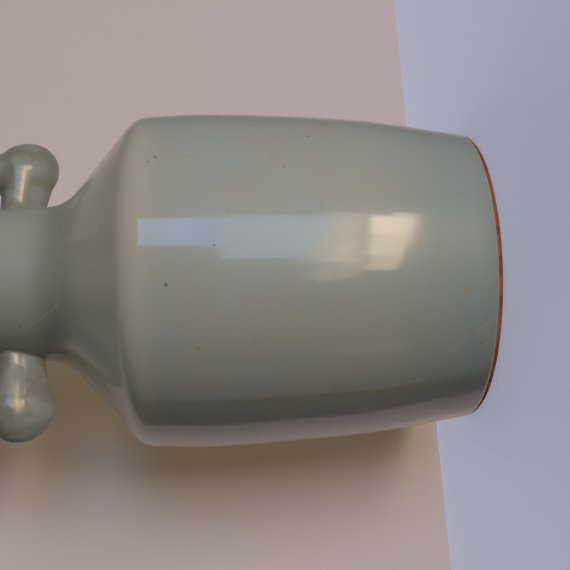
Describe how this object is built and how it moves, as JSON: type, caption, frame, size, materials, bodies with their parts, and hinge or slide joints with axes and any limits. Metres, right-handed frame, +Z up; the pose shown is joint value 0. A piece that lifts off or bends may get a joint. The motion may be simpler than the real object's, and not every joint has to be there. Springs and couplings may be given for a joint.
{
  "type": "mallet vase",
  "caption": "Tall ceramic vase with a near-cylindrical body, conical shoulder, straight neck, bird-shaped handles on the neck and a dish-shaped mouth, in grey-green celadon glaze.",
  "frame": {"origin": "centre of the foot ring, on the surface that the vase stands on", "axes": "+Z up along the vase's axis, towards the mouth; +X towards one handle, the other handle lies on -X; +Y towards a plain side"},
  "size_m": [0.1348, 0.1348, 0.27],
  "materials": {
    "celadon_glaze": "smooth glossy grey-green celadon glaze over stoneware, with faint mottling and fine craze lines",
    "bare_foot": "unglazed stoneware, burnt orange-brown in the kiln"
  },
  "bodies": {
    "root": {"foot_ring": "bare_foot", "floor_disc": "celadon_glaze", "body_wall": "celadon_glaze", "shoulder": "celadon_glaze", "neck": "celadon_glaze", "mouth_dish": "celadon_glaze", "handle_left": "celadon_glaze", "handle_right": "celadon_glaze"}
  },
  "joints": []
}
